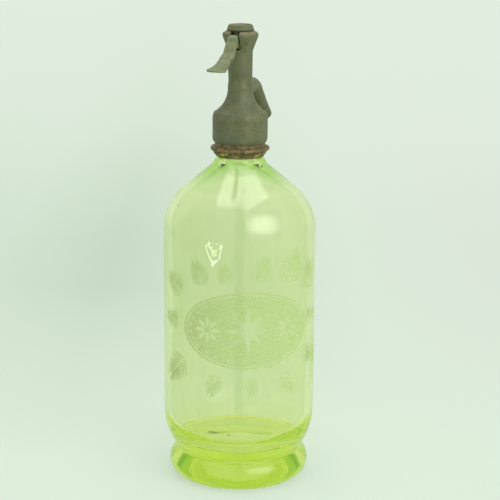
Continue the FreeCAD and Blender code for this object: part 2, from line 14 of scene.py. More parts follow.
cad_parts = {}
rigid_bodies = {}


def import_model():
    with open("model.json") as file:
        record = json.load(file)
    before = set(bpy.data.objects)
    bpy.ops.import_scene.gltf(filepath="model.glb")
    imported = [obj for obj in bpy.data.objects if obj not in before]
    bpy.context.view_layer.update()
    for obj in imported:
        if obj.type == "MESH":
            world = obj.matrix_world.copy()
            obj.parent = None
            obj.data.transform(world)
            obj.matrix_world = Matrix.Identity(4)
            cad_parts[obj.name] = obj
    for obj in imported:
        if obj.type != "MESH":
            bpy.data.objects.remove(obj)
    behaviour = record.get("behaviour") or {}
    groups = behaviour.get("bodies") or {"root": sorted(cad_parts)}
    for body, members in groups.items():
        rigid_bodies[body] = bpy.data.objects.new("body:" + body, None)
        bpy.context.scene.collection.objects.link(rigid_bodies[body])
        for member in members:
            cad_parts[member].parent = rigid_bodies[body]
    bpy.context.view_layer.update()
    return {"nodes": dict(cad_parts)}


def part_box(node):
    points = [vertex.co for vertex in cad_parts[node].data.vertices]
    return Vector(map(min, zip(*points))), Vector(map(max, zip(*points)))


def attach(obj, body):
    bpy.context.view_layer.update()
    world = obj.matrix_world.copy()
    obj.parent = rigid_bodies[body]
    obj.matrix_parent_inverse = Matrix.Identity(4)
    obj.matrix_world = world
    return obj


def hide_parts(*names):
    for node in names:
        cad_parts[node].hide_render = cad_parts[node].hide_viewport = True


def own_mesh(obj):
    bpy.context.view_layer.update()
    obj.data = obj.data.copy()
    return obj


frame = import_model()
scene = bpy.context.scene
scene.view_settings.view_transform = "Standard"
MM = 0.001
PER_MM = 1000.0
print("nodes in the frame:", len(frame["nodes"]))

# %% [markdown]
# ## Colours and nodes
# Colours are written as a painter would mix them on a screen, in sRGB, and turned to the linear
# values that the shaders need. One small helper adds a node with its settings and its links, so
# each material below reads as a list of what the finish is made of. A noise's scale is how many
# lumps lie along a metre, so PER_MM divided by a lump's size in millimetres gives it.

# %% Colour and node helpers
def linear(hex_colour):
    channels = []
    for start in (1, 3, 5):
        value = int(hex_colour[start:start + 2], 16) / 255
        channels.append(value / 12.92 if value <= 0.04045 else ((value + 0.055) / 1.055) ** 2.4)
    return (*channels, 1.0)


def new_material(name):
    material = bpy.data.materials.new(name)
    material.use_nodes = True
    material.node_tree.nodes.clear()
    return material


def add(tree, kind, *values, out=0, stops=(), **settings):
    """Adds a node, sets its properties, sets or links its inputs, and gives back one of its outputs.
    The values are the inputs in their order, or a dictionary of them by name or number."""
    node = tree.nodes.new(kind)
    for key, value in settings.items():
        setattr(node, key, value)
    if stops:
        elements = node.color_ramp.elements
        while len(elements) < len(stops):
            elements.new(0.5)
        for element, (place, colour) in zip(elements, stops):
            element.position = place
            element.color = linear(colour)
    named = values[0] if values and isinstance(values[0], dict) else dict(enumerate(values))
    for key, value in named.items():
        if isinstance(value, bpy.types.NodeSocket):
            tree.links.new(value, node.inputs[key])
        else:
            node.inputs[key].default_value = value
    return node.outputs[out] if len(node.outputs) else None


print("red of the brass:", round(linear("#78643c")[0], 3))

# %% [markdown]
# ## The camera
# A long lens about a metre away, a little above the cap and tilted down: the photograph shows the
# foot as a wide ellipse and the cap nearly from the side. The angles and the focal length come
# from fitting the ellipses of foot, shoulder and skirt. In the picture the lever points to the left.

# %% Camera
CAMERA_TURN = math.radians(22.0)
CAMERA_DISTANCE = 1.100
CAMERA_HEIGHT = 0.4093
CAMERA_TILT = math.radians(13.12)
CAMERA_SWING = math.radians(0.36)
CAMERA_ROLL = math.radians(0.35)
FOCAL_PIXELS = 1713.0
FRAME_PIXELS = 500.0
SENSOR_MM = 36.0

lens = bpy.data.cameras.new("studio_camera")
lens.sensor_width = SENSOR_MM
lens.lens = FOCAL_PIXELS / FRAME_PIXELS * SENSOR_MM
lens.clip_start = 0.01
camera = bpy.data.objects.new("studio_camera", lens)
camera.location = (CAMERA_DISTANCE * math.sin(CAMERA_TURN), -CAMERA_DISTANCE * math.cos(CAMERA_TURN), CAMERA_HEIGHT)
level_view = Euler((math.radians(90) - CAMERA_TILT, 0, CAMERA_TURN - CAMERA_SWING)).to_matrix()
camera.rotation_euler = (level_view @ Matrix.Rotation(CAMERA_ROLL, 3, "Z")).to_euler()
scene.collection.objects.link(camera)
scene.camera = camera
print("lens:", round(lens.lens, 1), "mm")

# %% [markdown]
# ## Floor, backdrop and light
# The siphon stands on a pale sheet that sweeps up behind it, so there is no horizon line. The sheet
# is a faint green-white, with painted shade a little darker on the left and painted light a little brighter
# far back. Glass is drawn by what stands around it, so the light comes mostly from a pale world. A soft
# window to the right and a light sheet overhead give the patches on the shoulder and the foot, and the rim of a small
# round lamp gives the loop.

# %% Mesh helpers
def mesh_object(name, vertices, faces):
    mesh = bpy.data.meshes.new(name)
    mesh.from_pydata(vertices, [], faces)
    mesh.update()
    obj = bpy.data.objects.new(name, mesh)
    scene.collection.objects.link(obj)
    for polygon in mesh.polygons:
        polygon.use_smooth = True
    return obj


def set_material(obj, material):
    obj.data.materials.clear()
    obj.data.materials.append(material)


print("a body turned by", round(math.degrees(CAMERA_TURN)), "degrees faces the lens")

# %% Paper sweep
def sweep_sheet():
    """The paper: flat floor, a wide bend and a wall, turned to face the camera."""
    floor_reach, bend, wall = 1.4, 0.9, 3.2
    path = [(-2.6, 0.0), (floor_reach, 0.0)]
    for step in range(1, 17):
        angle = math.pi / 2 * step / 16
        path.append((floor_reach + bend * math.sin(angle), bend - bend * math.cos(angle)))
    path.append((floor_reach + bend, wall))
    turn = Matrix.Rotation(CAMERA_TURN, 4, "Z")
    vertices = []
    for across in (-3.0, 3.0):
        vertices += [turn @ Vector((across, along, up)) for along, up in path]
    count = len(path)
    faces = [(i, i + count, i + count + 1, i + 1) for i in range(count - 1)]
    sheet = mesh_object("paper_sweep", vertices, faces)
    return sheet


paper = sweep_sheet()
print("paper strips:", len(paper.data.polygons))

# %% Paper material
def seen_directly(tree):
    """1 where the lens, a mirror image or the glass looks at a surface, 0 where light falls on it."""
    ray = add(tree, "ShaderNodeLightPath").node.outputs
    lens_or_mirror = add(tree, "ShaderNodeMath", ray["Is Camera Ray"], ray["Is Glossy Ray"], operation="ADD")
    any_look = add(tree, "ShaderNodeMath", lens_or_mirror, ray["Is Transmission Ray"], operation="ADD")
    return add(tree, "ShaderNodeMath", any_look, 1.0, operation="MINIMUM")


def paper_material():
    """Uncoated card: matt and evenly lit, its colour carrying painted shade darker left of the middle and painted
    light brighter at the front and far back; only near the foot does it show the siphon's shadow.
    """
    material = new_material("matt_paper")
    tree = material.node_tree
    place = add(tree, "ShaderNodeVectorRotate", {
        "Vector": add(tree, "ShaderNodeTexCoord", out="Object"), "Angle": -CAMERA_TURN}, rotation_type="Z_AXIS")
    parts = add(tree, "ShaderNodeSeparateXYZ", place).node.outputs
    side = add(tree, "ShaderNodeMapRange", parts["X"], -0.30, 0.30)
    # Painted shade and light: the card's colour is darker left of the middle and brighter at the front and far back,
    # as the room's light falls on it.
    across = add(tree, "ShaderNodeValToRGB", side,
                 stops=[(0.08, "#d3e3d1"), (0.28, "#c9dbc5"), (0.70, "#dceada"), (0.92, "#dce7d9")])
    behind = add(tree, "ShaderNodeMapRange", parts["Y"], 0.7, 2.0)
    back = add(tree, "ShaderNodeMix", {0: behind, 6: across, 7: linear("#e2eee0")}, data_type="RGBA", out=2)
    beyond_foot = add(tree, "ShaderNodeMapRange", parts["Y"], 0.02, 0.5)
    tint = add(tree, "ShaderNodeMix", {0: beyond_foot, 6: linear("#deecdb"), 7: back}, data_type="RGBA", out=2)
    matt = add(tree, "ShaderNodeBsdfDiffuse", tint)
    even = add(tree, "ShaderNodeEmission", tint, 1.0)
    reach = add(tree, "ShaderNodeVectorMath", place, operation="LENGTH", out="Value")
    off_shadow = add(tree, "ShaderNodeMapRange", reach, 0.05, 0.30, 0.62, 1.0)
    share = add(tree, "ShaderNodeMath", seen_directly(tree), off_shadow, operation="MULTIPLY")
    add(tree, "ShaderNodeOutputMaterial", add(tree, "ShaderNodeMixShader", share, matt, even))
    return material


set_material(paper, paper_material())
print("paper nodes:", len(paper.active_material.node_tree.nodes))

# %% World light
def world_light():
    world = bpy.data.worlds.new("pale_room")
    world.use_nodes = True
    tree = world.node_tree
    tree.nodes.clear()
    strength = add(tree, "ShaderNodeMapRange", seen_directly(tree), 0.0, 1.0, 0.62, 0.92)
    light = add(tree, "ShaderNodeBackground", linear("#eef6ec"), strength)
    add(tree, "ShaderNodeOutputWorld", light)
    scene.world = world


world_light()
print("world:", scene.world.name)

# %% Soft lamps
def shine_through(lamp, start, end):
    """Lets a lamp shine only where the reach from its middle (0.5 at the sides) has passed from start to end."""
    lamp.use_nodes = True
    tree = lamp.node_tree
    tree.nodes.clear()
    spread = add(tree, "ShaderNodeNewGeometry", out="Parametric")
    offset = add(tree, "ShaderNodeVectorMath", spread, (0.5, 0.5, 0.0), operation="SUBTRACT")
    flat = add(tree, "ShaderNodeVectorMath", offset, (1, 1, 0), operation="MULTIPLY")
    reach = add(tree, "ShaderNodeVectorMath", flat, operation="LENGTH", out="Value")
    strength = add(tree, "ShaderNodeMapRange", reach, start, end)
    add(tree, "ShaderNodeOutputLight", add(tree, "ShaderNodeEmission", {"Strength": strength}))


def soft_box(name, place, aim, width, height, watts):
    lamp = bpy.data.lights.new(name, "AREA")
    lamp.shape = "RECTANGLE"
    lamp.size = width
    lamp.size_y = height
    lamp.energy = watts
    obj = bpy.data.objects.new(name, lamp)
    obj.location = place
    obj.rotation_euler = (Vector(aim) - Vector(place)).to_track_quat("-Z", "Y").to_euler()
    scene.collection.objects.link(obj)
    return obj


def around(turn_degrees, distance, height):
    """A place around the siphon, by its angle to the right of the camera."""
    angle = CAMERA_TURN + math.radians(turn_degrees)
    return (distance * math.sin(angle), -distance * math.cos(angle), height)


MIDDLE = (0, 0, 0.15)
window = soft_box("window_right", around(40, 1.5, 0.84), MIDDLE, width=1.6, height=1.3, watts=22)
shine_through(window.data, 0.62, 0.22)
soft_box("overhead", (0.0, 0.0, 2.0), MIDDLE, width=1.6, height=1.6, watts=16)
print("soft lamps:", len(bpy.data.lights))

# %% Round lamp
def loop_lamp(name, touch, normal_turn, distance, width, height, watts):
    """A round lamp of which only the rim shines. It stands where the glass mirrors it to the lens."""
    out = Vector((math.sin(CAMERA_TURN + normal_turn), -math.cos(CAMERA_TURN + normal_turn), 0))
    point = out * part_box("bottle")[1].x + Vector((0, 0, touch))
    sight = (point - camera.location).normalized()
    mirrored = sight - 2 * sight.dot(out) * out
    lamp = soft_box(name, point + mirrored * distance, point, width, height, watts).data
    lamp.shape = "ELLIPSE"
    shine_through(lamp, 0.41, 0.46)


loop_lamp("round_lamp", touch=0.1685, normal_turn=math.radians(-18.9), distance=0.55, width=0.26, height=0.045,
          watts=0.32)
print("lamps:", len(bpy.data.lights))

# %% [markdown]
# ## The bottle's outline
# The bottle was blown into a mould: a foot with a sharp waist above it, a straight body, a round
# shoulder and a neck with a bead for the ring. A lathe outline shows this best: straight runs and
# arcs, spun round the axis. The inside is a second outline, a wall's thickness in, and the glass is
# one closed skin, because light has to enter and leave it in the right places.

# %% Lathe helpers
def arc(start, end, radius, side, steps=10):
    """Points after start on the short arc to end, bulging left (1) or right (-1) of the way."""
    a, b = Vector(start), Vector(end)
    chord = b - a
    across = Vector((-chord.y, chord.x)).normalized()
    offset = math.sqrt(max(radius ** 2 - (chord.length / 2) ** 2, 0))
    centre = (a + b) / 2 - across * offset * side
    first = math.atan2(a.y - centre.y, a.x - centre.x)
    sweep = 2 * math.asin(min(chord.length / 2 / radius, 1)) * -side
    return [(centre.x + radius * math.cos(first + sweep * i / steps),
             centre.y + radius * math.sin(first + sweep * i / steps)) for i in range(1, steps + 1)]


def outline(corners):
    """Corners in mm: (r, z), or (r, z, radius, side) when an arc leads there."""
    points = [corners[0][:2]]
    for corner in corners[1:]:
        if len(corner) == 4:
            points += arc(points[-1], corner[:2], corner[2], corner[3])
        else:
            points.append(corner)
    return points


def lathe(name, points, turns=192, closed=False, start=0.0, span=2 * math.pi):
    """Spins (r, z) points in mm about the axis. Points on the axis are merged to one."""
    whole = abs(span - 2 * math.pi) < 1e-6
    columns = turns if whole else turns + 1
    vertices = []
    for column in range(columns):
        angle = start + span * column / turns
        vertices += [(r * MM * math.cos(angle), r * MM * math.sin(angle), z * MM) for r, z in points]
    count = len(points)
    rows = count if closed else count - 1
    faces = []
    for column in range(turns):
        here = column * count
        there = (column + 1) % columns * count
        for row in range(rows):
            above = (row + 1) % count
            faces.append((here + row, there + row, there + above, here + above))
    if closed and not whole:
        faces.append(tuple(reversed(range(count))))
        faces.append(tuple((columns - 1) * count + row for row in range(count)))
    obj = mesh_object(name, vertices, faces)
    work = bmesh.new()
    work.from_mesh(obj.data)
    bmesh.ops.remove_doubles(work, verts=work.verts, dist=1e-7)
    bmesh.ops.recalc_face_normals(work, faces=work.faces)
    work.to_mesh(obj.data)
    work.free()
    return obj


LEFT, RIGHT = 1, -1
print("arc test:", [round(v, 2) for v in arc((0, 0), (2, 0), 1.0, LEFT)[4]])

# %% Bottle outline
SKIN = 0.05
BOTTLE_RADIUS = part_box("bottle")[1].x / MM - SKIN
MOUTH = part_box("bottle")[1].z / MM
WALL = 5.0
HEEL, WAIST, WAIST_RADIUS = 47.0, 19.8, 41.2
SHOULDER, MID_RADIUS, MID_HEIGHT = 168.0, 36.6, 195.8
FLANK_RADIUS, FLANK_HEIGHT = 20.2, 209.0
NECK_RADIUS, NECK_BORE, RING_BASE = 13.2, 9.0, 216.0
FLOOR_RADIUS, FLOOR_HEIGHT, KICK_UP = 32.0, 27.0, 16.0


def tangent_radius(across, along):
    return (across ** 2 + along ** 2) / (2 * across)


heel_curve = tangent_radius(BOTTLE_RADIUS - WAIST_RADIUS, HEEL - WAIST)
shoulder_curve = tangent_radius(BOTTLE_RADIUS - MID_RADIUS, MID_HEIGHT - SHOULDER)
inner_share = (shoulder_curve - WALL) / shoulder_curve
inner_mid = (BOTTLE_RADIUS - shoulder_curve + (MID_RADIUS - BOTTLE_RADIUS + shoulder_curve) * inner_share,
             SHOULDER + (MID_HEIGHT - SHOULDER) * inner_share)
flank_slope = (FLANK_HEIGHT - MID_HEIGHT) / (MID_RADIUS - FLANK_RADIUS)
bottle_points = outline([
    (0, KICK_UP),
    (34.0, 3.0, 240, RIGHT),
    (36.6, 0, 4, RIGHT),
    (38.4, 0),
    (46.4, 10.5, 11.5, RIGHT),
    (WAIST_RADIUS, WAIST, 13, RIGHT),
    (BOTTLE_RADIUS, HEEL, heel_curve, RIGHT),
    (BOTTLE_RADIUS, SHOULDER),
    (MID_RADIUS, MID_HEIGHT, shoulder_curve, RIGHT),
    (FLANK_RADIUS, FLANK_HEIGHT),
    (16.1, RING_BASE - 1.6, 12, LEFT),
    (NECK_RADIUS, RING_BASE - 0.4),
    (NECK_RADIUS, 228.2),
    (15.0, 229.8, 2.4, RIGHT),
    (15.0, 234.2),
    (13.5, MOUTH, 1.8, RIGHT),
    (NECK_BORE, MOUTH),
    (NECK_BORE, inner_mid[1] + flank_slope * (inner_mid[0] - NECK_BORE)),
    inner_mid,
    (BOTTLE_RADIUS - WALL, SHOULDER, shoulder_curve - WALL, LEFT),
    (BOTTLE_RADIUS - WALL, FLOOR_HEIGHT + 18),
    (FLOOR_RADIUS, FLOOR_HEIGHT, 22, LEFT),
    (0, FLOOR_HEIGHT),
])
print("bottle outline:", len(bottle_points), "points")

# %% [markdown]
# ## The glass
# Old soda glass, blown and pressed in a mould: soft waves on the inside, and a colour that only
# shows in depth. So the surface is clear and the tint is absorption inside the wall: pale where
# the wall is 5 mm, strong lime in the foot, where light crosses several centimetres. A ray that
# enters near the rim or the neck runs along the wall, further than the render follows it, so there
# the skin is greener. The IOR is a little under soda glass's 1.52, and the roughness is that of
# fire-polished glass.

# %% Glass material
VOLUME_PER_METRE = 34.0


def moulded_soda_glass():
    """Clear skin, colour in the depth, and a little milkiness from a century of wear.
    Light that runs round inside thick glass is ended after a few turns with a painted glow that stands in for the pale
    room: pale yellow low in the foot, soft green in the body, lime at the neck."""
    material = new_material("moulded_soda_glass")
    tree = material.node_tree
    place = add(tree, "ShaderNodeTexCoord", out="Object")
    height = add(tree, "ShaderNodeSeparateXYZ", place, out="Z")
    slant = add(tree, "ShaderNodeLayerWeight", {"Blend": 0.5}, out="Facing")
    near_ring = add(tree, "ShaderNodeMapRange", height, 0.196, 0.207)
    neck_side = add(tree, "ShaderNodeMapRange", slant, 0.2, 0.5)
    neck = add(tree, "ShaderNodeMath", near_ring, neck_side, operation="MULTIPLY")
    rim = add(tree, "ShaderNodeMapRange", slant, 0.6, 0.95, 0.0, 0.45)
    lime = add(tree, "ShaderNodeMath", neck, rim, operation="MAXIMUM")
    skin = add(tree, "ShaderNodeMix", {0: lime, 6: linear("#fafdf2"), 7: linear("#a0d658")}, data_type="RGBA", out=2)
    waves = add(tree, "ShaderNodeTexNoise", {"Vector": place, "Scale": PER_MM / 12, "Detail": 1.0})
    glass = add(tree, "ShaderNodeBsdfPrincipled", {
        "Base Color": skin, "Roughness": 0.02, "IOR": 1.45, "Transmission Weight": 0.98,
        "Normal": add(tree, "ShaderNodeBump", {"Height": waves, "Distance": 0.05 * MM})})
    # Painted glow: a ray past four and a half bounces ends on an emission whose colour is painted by height.
    turns = add(tree, "ShaderNodeLightPath", out="Ray Depth")
    trapped = add(tree, "ShaderNodeMath", turns, 4.5, operation="GREATER_THAN")
    pale = add(tree, "ShaderNodeValToRGB", add(tree, "ShaderNodeMapRange", height, 0.0, 0.22),
               stops=[(0.06, "#f2f4a0"), (0.14, "#c4e08a"), (0.84, "#c4e090"), (0.94, "#90c850")])
    painted_glow = add(tree, "ShaderNodeEmission", pale, 1.0)
    surface = add(tree, "ShaderNodeMixShader", trapped, glass, painted_glow)
    depth = add(tree, "ShaderNodeVolumeAbsorption", linear("#eff83f"), VOLUME_PER_METRE)
    add(tree, "ShaderNodeOutputMaterial", surface, depth)
    return material


print("glass: absorbs", VOLUME_PER_METRE, "per metre at most")

# %% Bottle
def densify(points, step_mm):
    """Adds points on long straight runs, so that waves have something to move."""
    dense = [points[0]]
    for (r0, z0), (r1, z1) in zip(points, points[1:]):
        parts = max(1, round(math.hypot(r1 - r0, z1 - z0) / step_mm))
        dense += [(r0 + (r1 - r0) * k / parts, z0 + (z1 - z0) * k / parts) for k in range(1, parts + 1)]
    return dense


# Waves per metre round and up. In metres: their start over the floor, their end under the neck, and
# the radius of the middle that they leave alone.
WAVES_ROUND, WAVES_UP = 28, 14
WAVES_START, WAVES_END, STILL_MIDDLE = 0.004, 0.205, 0.03


def wave_inside(obj, depth_mm):
    """Hand-blown glass is never even inside: its inner skin moves in and out in slow waves."""
    inner_edge = (BOTTLE_RADIUS - WALL + 0.2) * MM
    for vertex in obj.data.vertices:
        flat = Vector((vertex.co.x, vertex.co.y, 0))
        on_inside = flat.length < inner_edge and FLOOR_HEIGHT * MM + WAVES_START < vertex.co.z < WAVES_END
        if on_inside and flat.length > STILL_MIDDLE:
            wave = noise.noise(Vector((vertex.co.x * WAVES_ROUND, vertex.co.y * WAVES_ROUND, vertex.co.z * WAVES_UP)))
            vertex.co += flat.normalized() * wave * depth_mm * MM


bottle = lathe("glass_bottle", densify(bottle_points, 3.0), turns=192)
wave_inside(bottle, 0.5)
set_material(bottle, moulded_soda_glass())
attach(bottle, "siphon")
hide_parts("bottle")
print("bottle faces:", len(bottle.data.polygons))

# %% [markdown]
# ## The lime film
# Hard water leaves a chalky veil on the inside, which makes old glass look a little milky. A thin
# skin just inside the wall carries it, mostly see-through, so the glass itself can stay clear.

# %% Lime film on the inside
def lime_film_material():
    """Dried lime: pale and thin, thicker in clouds and in the streaks that the last water left."""
    material = new_material("dried_lime_film")
    tree = material.node_tree
    place = add(tree, "ShaderNodeTexCoord", out="Object")
    clouds = add(tree, "ShaderNodeTexNoise", {
        "Vector": place, "Scale": PER_MM / 26, "Detail": 5.0, "Roughness": 0.62})
    upright = add(tree, "ShaderNodeMapping", {"Vector": place, "Scale": (1, 1, 0.16)})
    streaks = add(tree, "ShaderNodeTexNoise", {"Vector": upright, "Scale": PER_MM / 5, "Detail": 3.0})
    cloudy = add(tree, "ShaderNodeMapRange", clouds, 0.35, 0.75, 0.05, 0.16)
    streaky = add(tree, "ShaderNodeMapRange", streaks, 0.5, 0.8, 0.0, 0.10)
    cover = add(tree, "ShaderNodeMath", cloudy, streaky, operation="ADD")
    chalk = linear("#f8fae8")
    lime = add(tree, "ShaderNodeBsdfDiffuse", chalk)
    glow = add(tree, "ShaderNodeBsdfTranslucent", chalk)
    film = add(tree, "ShaderNodeMixShader", 0.5, lime, glow)
    bare = add(tree, "ShaderNodeBsdfTransparent")
    add(tree, "ShaderNodeOutputMaterial", add(tree, "ShaderNodeMixShader", cover, bare, film))
    return material


FILM_GAP = 0.7
film_points = outline([
    (0, FLOOR_HEIGHT + FILM_GAP),
    (FLOOR_RADIUS - 1, FLOOR_HEIGHT + FILM_GAP),
    (BOTTLE_RADIUS - WALL - FILM_GAP, FLOOR_HEIGHT + 18, 22, RIGHT),
    (BOTTLE_RADIUS - WALL - FILM_GAP, SHOULDER),
    (inner_mid[0] - FILM_GAP, inner_mid[1] - FILM_GAP, shoulder_curve - WALL - FILM_GAP, RIGHT),
])
film = lathe("lime_film", densify(film_points, 4.0), turns=96)
set_material(film, lime_film_material())
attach(film, "siphon")
print("film faces:", len(film.data.polygons))

# %% [markdown]
# ## The cast head
# The head is a pewter casting: a skirt, a dome, a column and a slotted collar, with the spout
# cast on at the back. Castings have no sharp inside corners. The CAD solids are joined and remeshed
# with fine voxels, which melts the boss, web and spout into one skin, then smoothed a little.

# %% Cast head
def joined_copy(name, nodes):
    """A merged copy of CAD nodes as one mesh object."""
    work = bmesh.new()
    for node in nodes:
        work.from_mesh(frame["nodes"][node].data)
    bmesh.ops.remove_doubles(work, verts=work.verts, dist=2e-6)
    mesh = bpy.data.meshes.new(name)
    work.to_mesh(mesh)
    work.free()
    obj = bpy.data.objects.new(name, mesh)
    scene.collection.objects.link(obj)
    return obj


def apply_modifiers(obj):
    depsgraph = bpy.context.evaluated_depsgraph_get()
    result = bpy.data.meshes.new_from_object(obj.evaluated_get(depsgraph))
    obj.modifiers.clear()
    obj.data = result
    for polygon in result.polygons:
        polygon.use_smooth = True
    return obj


def melt(obj, voxel_mm, smoothing):
    """Voxel remesh, then smoothing: the rounding that a sand or plaster mould leaves."""
    voxels = obj.modifiers.new("voxels", "REMESH")
    voxels.mode = "VOXEL"
    voxels.voxel_size = voxel_mm * MM
    soft = obj.modifiers.new("soft", "SMOOTH")
    soft.iterations = smoothing
    soft.factor = 0.5
    return apply_modifiers(obj)


def cast_unevenness(obj, lump_mm, depth_mm):
    for vertex, normal in zip(obj.data.vertices, [v.normal.copy() for v in obj.data.vertices]):
        lump = noise.noise(vertex.co / (lump_mm * MM))
        vertex.co += normal * lump * depth_mm * MM


head = joined_copy("cast_head", ["head_casting", "spout", "lever_pin"])
melt(head, 0.42, 3)
cast_unevenness(head, 6.0, 0.10)
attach(head, "siphon")
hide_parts("head_casting", "spout", "lever_pin")
print("head faces:", len(head.data.polygons))

# %% [markdown]
# ## The thumb lever
# The lever is a curved casting that forks inside the head. It is remeshed the same way, with finer
# voxels for its thin edges, and years of thumbs have worn a slight hollow in its end.

# %% Thumb lever
lever = joined_copy("thumb_lever", ["lever"])
melt(lever, 0.28, 14)
LEVER_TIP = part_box("lever")[0]
HOLLOW_END, HOLLOW_MIDDLE, HOLLOW_LENGTH, HOLLOW_WIDTH, HOLLOW_DEPTH = 16, 7, 5.5, 3.6, 0.45
for vertex in lever.data.vertices:
    along = (vertex.co.y - LEVER_TIP.y) / MM
    if along < HOLLOW_END and vertex.normal.z > 0.3:
        hollow = math.exp(-((along - HOLLOW_MIDDLE) / HOLLOW_LENGTH) ** 2)
        hollow *= math.exp(-(vertex.co.x / MM / HOLLOW_WIDTH) ** 2)
        vertex.co.z -= HOLLOW_DEPTH * hollow * MM
cast_unevenness(lever, 4.0, 0.06)
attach(lever, "lever")
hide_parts("lever")
print("lever faces:", len(lever.data.polygons))

# %% [markdown]
# ## The screw cap
# The cap is turned, so it is lathed from an outline: rounded edges and a shallow dish on top. A
# little unevenness along the surface takes away the machine-made look.

# %% Screw cap
CAP_BASE, CAP_TOP = 297.6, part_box("head_cap")[1].z / MM
cap_points = outline([
    (5.2, 293.2), (6.3, 293.2), (6.3, CAP_BASE + 0.05), (8.5, CAP_BASE + 0.05),
    (8.75, CAP_BASE + 0.5, 0.4, RIGHT), (8.35, CAP_BASE + 1.6), (7.7, CAP_TOP - 0.5, 9, RIGHT),
    (7.1, CAP_TOP - 0.03, 0.6, RIGHT), (6.6, CAP_TOP - 0.15, 0.5, RIGHT), (5.7, CAP_TOP - 0.9, 3, LEFT),
    (0, CAP_TOP - 1.35, 30, LEFT), (0, CAP_TOP - 2.4), (5.2, CAP_TOP - 2.4)])
cap = lathe("screw_cap", densify(cap_points, 0.6), turns=96, closed=True)
cast_unevenness(cap, 3.0, 0.09)
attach(cap, "siphon")
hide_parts("head_cap")
print("cap faces:", len(cap.data.polygons))

# %% [markdown]
# ## The split ring
# Two brass halves grip the glass under the bead. Each is lathed through a little under half a turn,
# so the seams stay open by a hair. The brass is brown with age, and bright where hands have rubbed
# the rounded bead, the thin lower lip and spots between them.

# %% Ring halves
RING_BEAD = 221.3
bead_arc = [(18.1 + 1.15 * math.cos(a), RING_BEAD + 1.25 * math.sin(a))
            for a in (math.radians(d) for d in range(-70, 81, 15))]
ring_points = outline([(13.45, RING_BASE + 0.05), (15.3, RING_BASE + 0.05), (15.85, RING_BASE + 0.5, 0.7, RIGHT),
                       (16.1, RING_BASE + 1.2), (15.95, RING_BASE + 1.6), (17.5, RING_BASE + 3.7)])
ring_points += bead_arc + [(17.3, 222.8), (16.35, 223.75), (16.35, 232.95), (15.35, 232.95), (15.35, 229.4),
                           (13.45, 227.9)]
for side, turn in (("right", 22.0), ("left", 202.0)):
    half = lathe(f"ring_half_{side}", densify(ring_points, 0.8), turns=110, closed=True,
                 start=math.radians(turn - 89.7), span=math.radians(179.4))
    cast_unevenness(half, 5.0, 0.05)
    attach(half, "siphon")
    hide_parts(f"collar_half_{side}")


def aged_brass():
    """Turned brass under a brown skin, rubbed to bright metal where a hand or cloth reaches it."""
    material = new_material("aged_ring_brass")
    tree = material.node_tree
    place = add(tree, "ShaderNodeTexCoord", out="Object")
    clouds = add(tree, "ShaderNodeTexNoise", {"Vector": place, "Scale": PER_MM / 3.5, "Detail": 4.0})
    fine = add(tree, "ShaderNodeTexNoise", {"Vector": place, "Scale": PER_MM / 0.8, "Detail": 3.0})
    blots = add(tree, "ShaderNodeTexNoise", {"Vector": place, "Scale": PER_MM / 4.5, "Detail": 3.0})
    skin = add(tree, "ShaderNodeValToRGB", clouds, stops=[(0.32, "#4c422b"), (0.5, "#6a5c3a"), (0.68, "#8a7a4e")])
    pointed = add(tree, "ShaderNodeNewGeometry", out="Pointiness")
    edges = add(tree, "ShaderNodeMapRange", pointed, 0.50, 0.58)
    speckle = add(tree, "ShaderNodeMapRange", fine, 0.45, 0.62, 0.0, 0.45)
    worn = add(tree, "ShaderNodeMath", edges, speckle, operation="MULTIPLY")
    height = add(tree, "ShaderNodeSeparateXYZ", place, out="Z")
    below_bead = add(tree, "ShaderNodeMapRange", height, 0.2205, 0.2200)
    above_lip = add(tree, "ShaderNodeMapRange", height, 0.2172, 0.2177)
    cone = add(tree, "ShaderNodeMath", below_bead, above_lip, operation="MULTIPLY")
    spots = add(tree, "ShaderNodeMath", cone, add(tree, "ShaderNodeMapRange", blots, 0.50, 0.62), operation="MULTIPLY")
    dulled = add(tree, "ShaderNodeMath", spots, 0.9, operation="MULTIPLY")
    rubbed = add(tree, "ShaderNodeMath", worn, dulled, operation="MAXIMUM")
    seam_side = (math.cos(CAMERA_TURN), math.sin(CAMERA_TURN), 0.0)
    across_seam = add(tree, "ShaderNodeVectorMath", place, seam_side, operation="DOT_PRODUCT", out="Value")
    off_seam = add(tree, "ShaderNodeMapRange", add(tree, "ShaderNodeMath", across_seam, operation="ABSOLUTE"),
                   0.0004, 0.0009)
    bright = add(tree, "ShaderNodeMath", rubbed, off_seam, operation="MULTIPLY")
    metal = add(tree, "ShaderNodeBsdfPrincipled", {
        "Base Color": add(tree, "ShaderNodeMix", {0: bright, 6: skin, 7: linear("#dcc07e")}, data_type="RGBA", out=2),
        "Metallic": add(tree, "ShaderNodeMapRange", bright, 0.0, 1.0, 0.35, 0.9),
        "Roughness": add(tree, "ShaderNodeMapRange", bright, 0.0, 1.0, 0.58, 0.32),
        "Normal": add(tree, "ShaderNodeBump", {"Height": fine, "Distance": 0.08 * MM})})
    add(tree, "ShaderNodeOutputMaterial", metal)
    return material


ring_brass = aged_brass()
for side in ("right", "left"):
    set_material(bpy.data.objects[f"ring_half_{side}"], ring_brass)
print("ring faces:", len(half.data.polygons), "each")

# %% [markdown]
# ## The ring's relief
# A row of small cast lumps runs round the cone of the ring. One lump is described once, and Geometry
# Nodes sets a copy with its own size on each point of a circle, so that no two are alike.

# %% Growing repeated detail
def node_group(name, sockets):
    """An empty Geometry Nodes group with a geometry in, a geometry out and named number inputs."""
    group = bpy.data.node_groups.new(name, "GeometryNodeTree")
    group.interface.new_socket("Geometry", in_out="INPUT", socket_type="NodeSocketGeometry")
    group.interface.new_socket("Geometry", in_out="OUTPUT", socket_type="NodeSocketGeometry")
    for label, kind in sockets:
        group.interface.new_socket(label, in_out="INPUT", socket_type=kind)
    return group


